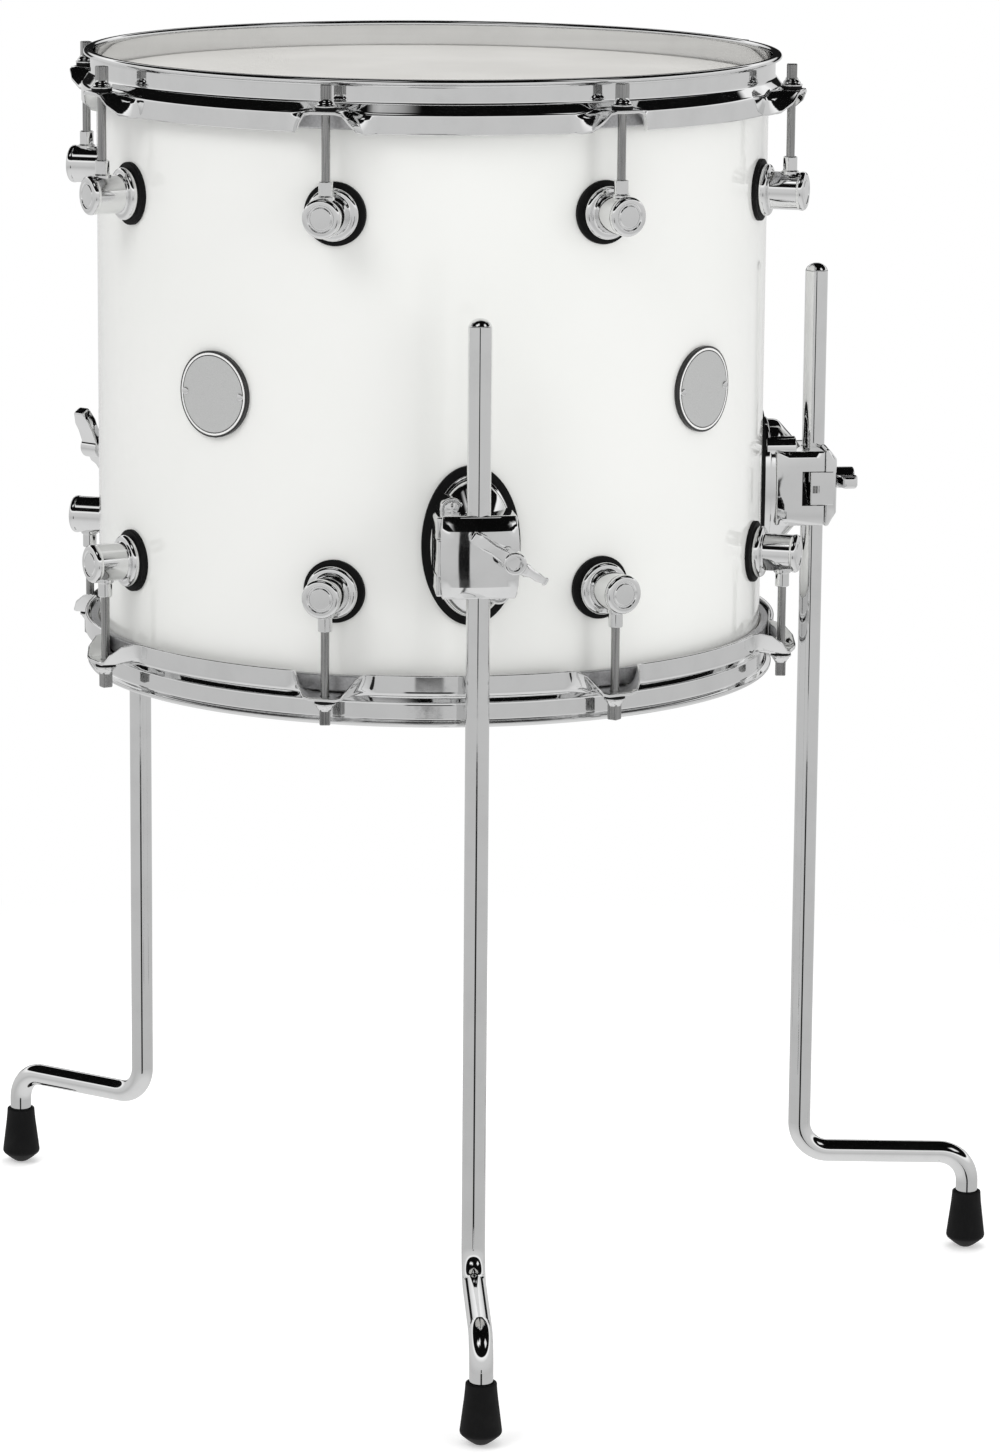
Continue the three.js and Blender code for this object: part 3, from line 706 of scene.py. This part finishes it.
# Jaws: a cast and chromed bar that closes over the leg, bowed in front and sloped above and
# below. Its tongue turns on the hinge pin, and the wing screw passes through its other end.
jaw_left, jaw_right = -23.1, 22.5
jaw_middle, jaw_half = (jaw_left + jaw_right) / 2, (jaw_right - jaw_left) / 2
jaw_rise, jaw_face_rise = 24, 16
jaw_back, jaw_depth = 38.8, 48.7
jaw_slope, jaw_bow, jaw_narrowing = 6.4, 0.33, 0.07
jaw_round = 1.1
jaw_hole_radius, tongue_bore_radius, groove_half = 3.4, 2.3, 40


def jaw_shape():
    """The jaw's bar: bowed across its face, sloped at its top and bottom and narrower there."""
    shape = bar(
        jaw_left, jaw_right, jaw_back, jaw_depth, bracket_height - jaw_rise, bracket_height + jaw_rise
    )
    along = [edge for edge in shape.edges if abs(edge.verts[0].co.y - edge.verts[1].co.y) < 0.1]
    bmesh.ops.subdivide_edges(shape, edges=along, cuts=11, use_grid_fill=True)
    for vert in shape.verts:
        depth = -vert.co.y - shell_radius
        across, up = vert.co.x - jaw_middle, vert.co.z - bracket_height
        past_face = max(abs(up) - jaw_face_rise, 0) / (jaw_rise - jaw_face_rise)
        if depth > jaw_back + 1:
            depth -= jaw_slope * past_face
        depth = jaw_back + (depth - jaw_back) * (1 - jaw_bow * (across / jaw_half) ** 2)
        across *= 1 - jaw_narrowing * (up / jaw_rise) ** 2
        vert.co = (jaw_middle + across, -shell_radius - depth, vert.co.z)
    return soften(shape, jaw_round)


tongue_left, tongue_right = hinge_across - tongue_width / 2, hinge_across + tongue_width / 2
for name, angle in leg_places:
    groove = rod(leg_radius + clearance, bracket_height - groove_half, bracket_height + groove_half, 48)
    groove = upright(groove, leg_standoff)
    hole = rod(jaw_hole_radius, jaw_back - overrun, jaw_depth + overrun)
    hole = outward(hole, bracket_height, screw_across)
    piece(f"jaw_{name}_bar", cut(jaw_shape(), groove, hole), chrome, f"jaw_{name}",
          [f"bracket_jaw_{name}"], angle)
    tongue = bar(tongue_left, tongue_right, hinge_depth - 3.2, jaw_back + 5, tongue_low, tongue_high, 0.6)
    bore = rod(tongue_bore_radius, tongue_low - overrun, tongue_high + overrun, 32)
    bore = upright(bore, hinge_depth, 0, hinge_across)
    recess = bar(tongue_left - 1, tongue_left + 1.3, hinge_depth - 2.2, hinge_depth + 2.4,
                 bracket_height - 2.9, bracket_height + 1.7)
    piece(f"jaw_{name}_tongue", cut(tongue, bore, recess), chrome, f"jaw_{name}", (), angle)

# Wing screws: a turned hub with a recess in its end, and two unequal cast wings, as deep as the
# hub is long. Each station along them holds a half thickness and how far each side is set in.
hub_back = jaw_depth + 0.3
hub_length = 15
hub_front = hub_back + hub_length
hub_radius = 6.6
wing_round = 1.5
wing_back, wing_front = hub_back + 1.2, hub_front - 1.2
wing_stations = [
    (-23.2, 2.3, 2.2, 7.0), (-20.6, 3.0, 0.8, 5.4), (-16.5, 2.7, 0.2, 4.0), (-12.5, 2.4, 0, 2.6),
    (-8.5, 2.7, 0, 1.0), (-4.0, 3.8, 0, 0), (0.0, 4.6, 0, 0), (5.0, 4.8, 0, 0), (9.5, 3.7, 0, 0),
    (14.5, 3.3, 0, 0), (20.0, 3.8, 0, 0), (24.8, 4.3, 0.5, 0.5), (28.8, 3.3, 2.6, 2.6),
]
wing_turns = {"front_left": 147, "front_right": 178, "rear": 62}


def wings_shape():
    """Both wings lying along X, with the screw's axis on Z."""
    shape = bmesh.new()
    bmesh.ops.create_cube(shape, size=1)
    spans = len(wing_stations) - 1
    bmesh.ops.scale(shape, verts=shape.verts, vec=(spans, 2, 1))
    along = [edge for edge in shape.edges if abs(edge.verts[0].co.x - edge.verts[1].co.x) > 0.5]
    bmesh.ops.subdivide_edges(shape, edges=along, cuts=spans - 1, use_grid_fill=True)
    for vert in shape.verts:
        reach, half, low, high = wing_stations[round(vert.co.x + spans / 2)]
        vert.co = (reach, half * vert.co.y, wing_back + low if vert.co.z < 0 else wing_front - high)
    return soften(shape, wing_round, 4, 35)


hub_outline = [
    (0, 24.5), (3.0, 24.5, 0.6), (3.0, hub_back + 1), (4.6, hub_back, 0.3), (4.6, hub_back + 1.6, 0.3),
    (hub_radius, hub_back + 2.2, 0.5), (hub_radius, hub_front, 1.2), (4.6, hub_front),
    (4.4, hub_front - 1.4), (3.7, hub_front - 2.6), (2.4, hub_front - 3.4), (0, hub_front - 3.8),
]
for name, angle in leg_places:
    hub = turned(hub_outline, 64)
    wings = swung(wings_shape(), wing_turns[name])
    piece(f"wing_{name}_hub", outward(hub, bracket_height, screw_across), chrome, f"screw_{name}",
          [f"wing_screw_{name}"], angle)
    piece(f"wing_{name}_wings", outward(wings, bracket_height, screw_across), chrome, f"screw_{name}",
          (), angle)

# Legs: one chromed steel rod each, held in the clamp and bent out and down again, with a domed
# plug pressed in its top.
leg_top = 629
rod_top = leg_top - 4.7
rod_tip = 14.3
leg_arm, leg_arm_height, leg_arm_fall = 108, 65, 3
leg_bend = 19
leg_sides = 48
slope = math.atan2(leg_arm_fall, leg_arm)
bend_turn = math.pi / 2 - slope
arm_inset = leg_bend * math.tan(bend_turn / 2)


def leg_shape():
    """A disc drawn down from under the plug, round two bends and into the foot."""
    shape = bmesh.new()
    bmesh.ops.create_circle(shape, cap_ends=True, segments=leg_sides, radius=leg_radius)
    upright(shape, leg_standoff, rod_top)

    def reach(vec):
        pushed = bmesh.ops.extrude_face_region(shape, geom=[tip[0]])
        verts = [part for part in pushed["geom"] if isinstance(part, bmesh.types.BMVert)]
        bmesh.ops.translate(shape, verts=verts, vec=vec)
        tip[0] = next(part for part in pushed["geom"] if isinstance(part, bmesh.types.BMFace))

    def bend(centre, angle):
        pushed = bmesh.ops.spin(
            shape, geom=[tip[0]], cent=centre, axis=(1, 0, 0), dvec=(0, 0, 0), angle=angle, steps=16,
            use_merge=False, use_duplicate=False,
        )
        tip[0] = next(part for part in pushed["geom_last"] if isinstance(part, bmesh.types.BMFace))

    shape.faces.ensure_lookup_table()
    tip = [shape.faces[0]]
    upper_start = leg_arm_height + arm_inset
    reach((0, 0, upper_start - rod_top))
    bend((0, -shell_radius - leg_standoff - leg_bend, upper_start), -bend_turn)
    run = leg_arm / math.cos(slope) - 2 * arm_inset
    reach((0, -run * math.cos(slope), -run * math.sin(slope)))
    lower_end = leg_arm_height - leg_arm_fall - arm_inset
    bend((0, -shell_radius - leg_standoff - leg_arm + leg_bend, lower_end), bend_turn)
    reach((0, 0, rod_tip - lower_end))
    return tidied(shape)


def in_clamp(shape, turn):
    """Turns a leg or its foot about the upright part of the leg."""
    return swung(shape, turn, (0, -shell_radius - leg_standoff, 0))


arm_turns = {"front_left": -4.5, "front_right": -3.0, "rear": 0.0}
plug_outline = [
    (0, leg_top), (2.2, leg_top - 0.25), (4.2, leg_top - 1.1), (5.7, leg_top - 2.5), (6.5, leg_top - 3.9),
    (6.75, leg_top - 4.4, 0.2), (4.0, leg_top - 4.5), (4.0, leg_top - 16), (0, leg_top - 16),
]
for name, angle in leg_places:
    piece(f"leg_{name}_rod", in_clamp(leg_shape(), arm_turns[name]), chrome, f"leg_{name}",
          [f"leg_{name}"], angle, crease=50)
    piece(f"leg_{name}_plug", upright(turned(plug_outline, leg_sides), leg_standoff), chrome,
          f"leg_top_{name}", [f"leg_plug_{name}"], angle)

# Feet: moulded black rubber, flared to a wide shoulder over a blunt tip. Each is pushed over the
# end of its leg and has a lip at the top.
foot_outline = [
    (0, 0.05), (3.4, 0.05, 1.2), (7.4, 2.7, 2.5), (12.3, 6.9, 1.4), (10.9, 18.5, 6), (9.4, 30, 4),
    (9.05, 35.0, 0.8), (9.0, 37, 1.0), (7.35, 37, 0.4), (7.35, 14), (0, 14),
]
for name, angle in leg_places:
    shape = in_clamp(upright(turned(foot_outline, 64), leg_standoff + leg_arm), arm_turns[name])
    piece(f"foot_{name}_rubber", shape, rubber, f"leg_{name}", [f"foot_{name}"], angle, crease=40)

# Studio: a white floor that keeps the drum's shadow, a white surround and soft lamps. The chrome
# alone sees grey walls, a dark ceiling with three light panels, and three narrow dark flags.
camera_side = -51.67
soft_level = 0.79
floor_half = 30
floor_glow = 0.36
sweep_start, sweep_end = 0.5, 0.95
floor_paper = bpy.data.materials.new("floor_paper")
floor_paper.use_nodes = True
tree = floor_paper.node_tree
tree.nodes.clear()
start = Shade(tree)
camera_ray = start.node("LightPath", output="Is Camera Ray")
glossy_ray = start.node("LightPath", output="Is Glossy Ray")
paper = start.node("BsdfDiffuse", {"Color": (0.82, 0.82, 0.82, 1)})
glow = start.node("Emission", {"Color": (1, 1, 1, 1), "Strength": camera_ray * floor_glow})
lit = start.node("AddShader", {0: paper, 1: glow})
spot = start.node("TexCoord", output="Object")
from_middle = spot.node("VectorMath", {0: spot}, output=1, operation="LENGTH")
beyond = from_middle.between(sweep_start, sweep_end) * camera_ray
swept = start.node("MixShader", {"Fac": beyond, 1: lit, 2: start.node("Emission", {"Strength": 1.0})})
seen = start.node("MixShader", {"Fac": glossy_ray, 1: swept, 2: start.node("BsdfTransparent")})
start.node("OutputMaterial", {"Surface": seen})
floor_shape = bmesh.new()
bmesh.ops.create_grid(floor_shape, x_segments=1, y_segments=1, size=floor_half)
floor_mesh = bpy.data.meshes.new("floor")
floor_shape.to_mesh(floor_mesh)
floor_mesh.materials.append(floor_paper)
floor = bpy.data.objects.new("floor", floor_mesh)
bpy.context.scene.collection.objects.link(floor)

world = bpy.data.worlds.new("studio")
bpy.context.scene.world = world
world.use_nodes = True
tree = world.node_tree
tree.nodes.clear()
start = Shade(tree)
heading = start.node("TexCoord", output="Generated")
east, north, rise = (start.node("SeparateXYZ", {"Vector": heading}, output=axis) for axis in "XYZ")
azimuth = start.maths("ARCTAN2", east, north * -1) * (180 / math.pi)


def panel(centre, half_width, low, high, soft=4.0, edge=0.03):
    """1 inside a panel of the studio, by its azimuth in degrees and its rise."""
    away = start.node("Math", {0: azimuth - (camera_side + centre), 1: 180.0, 2: -180.0}, operation="WRAP")
    away = start.maths("ABSOLUTE", away)
    sideways = 1 - away.between(half_width, half_width + soft)
    upwards = rise.between(low, low + edge) * (1 - rise.between(high, high + edge))
    return sideways * upwards


wall = rise.node("ValToRGB", {"Fac": rise * 0.5 + 0.5}, stops=[
    (0.0, 0.86), (0.2, 0.8), (0.36, 0.6), (0.44, 0.68), (0.5, 0.72), (0.6, 0.74), (0.68, 1.1), (0.7, 1.1),
    (0.715, 0.005), (1.0, 0.003),
])
panels = panel(-46, 7, 0.7, 0.82, 14, 0.06) + panel(-28, 6, 0.78, 0.9, 16, 0.07)
panels = panels + panel(66, 8, 0.61, 0.8, 10, 0.05)
flags = panel(0, 4, -0.203, -0.125, 1.2, 0.003) * 0.985 + panel(0, 7, -0.4, -0.215, 2, 0.003) * 0.97
flags = flags + panel(180, 28, -0.02, 0.15) * 0.985
level = start.maths("MAXIMUM", wall, panels) * (1 - start.maths("MINIMUM", flags, 1.0))
grey = level.node("CombineColor", {0: level, 1: level, 2: level})
mirror_view = start.node("Background", {"Color": grey, "Strength": 1.0})
soft_light = start.node("Background", {"Color": (1, 1, 1, 1), "Strength": soft_level})
backdrop = start.node("Background", {"Color": (1, 1, 1, 1), "Strength": 1.0})
camera_ray = start.node("LightPath", output="Is Camera Ray")
glossy_ray = start.node("LightPath", output="Is Glossy Ray")
inner = start.node("MixShader", {"Fac": glossy_ray, 1: soft_light, 2: mirror_view})
outer = start.node("MixShader", {"Fac": camera_ray, 1: inner, 2: backdrop})
start.node("OutputWorld", {"Surface": outer})

lit_middle = Vector((0, 0, 0.45))
for name, azimuth_deg, elevation_deg, distance, size, power in (
    ("key", camera_side - 43, 44, 3.2, 1.6, 22), ("fill", camera_side + 52, 9, 3.4, 1.8, 23),
    ("top", camera_side + 160, 68, 3.0, 1.8, 22),
):
    lamp = bpy.data.lights.new(name, "AREA")
    lamp.shape, lamp.size, lamp.energy = "DISK", size, power
    lamp_object = bpy.data.objects.new(name, lamp)
    a, e = math.radians(azimuth_deg), math.radians(elevation_deg)
    aim = Vector((math.sin(a) * math.cos(e), -math.cos(a) * math.cos(e), math.sin(e)))
    lamp_object.location = lit_middle + aim * distance
    lamp_object.rotation_euler = aim.to_track_quat("Z", "Y").to_euler()
    lamp_object.visible_glossy = False
    bpy.context.scene.collection.objects.link(lamp_object)

# Camera: the photograph's viewpoint, from the drum's front left, a little above its middle. It
# has a slight roll, and it is placed from the drum's axis.
camera_place = drum_axis + Vector((-2.5660, -2.0287, 1.0401))
camera_target = drum_axis + Vector((0.0271, -0.0343, 0.3427))
camera_roll = math.radians(0.49)
camera_data = bpy.data.cameras.new("camera")
camera_data.lens = 134.03
camera_data.sensor_width = 36
camera = bpy.data.objects.new("camera", camera_data)
camera.location = camera_place
aim = (camera_place - camera_target).to_track_quat("Z", "Y").to_matrix().to_4x4()
camera.rotation_euler = (aim @ Matrix.Rotation(camera_roll, 4, "Z")).to_euler()
bpy.context.scene.collection.objects.link(camera)
bpy.context.scene.camera = camera
bpy.context.scene.view_settings.view_transform = "Standard"
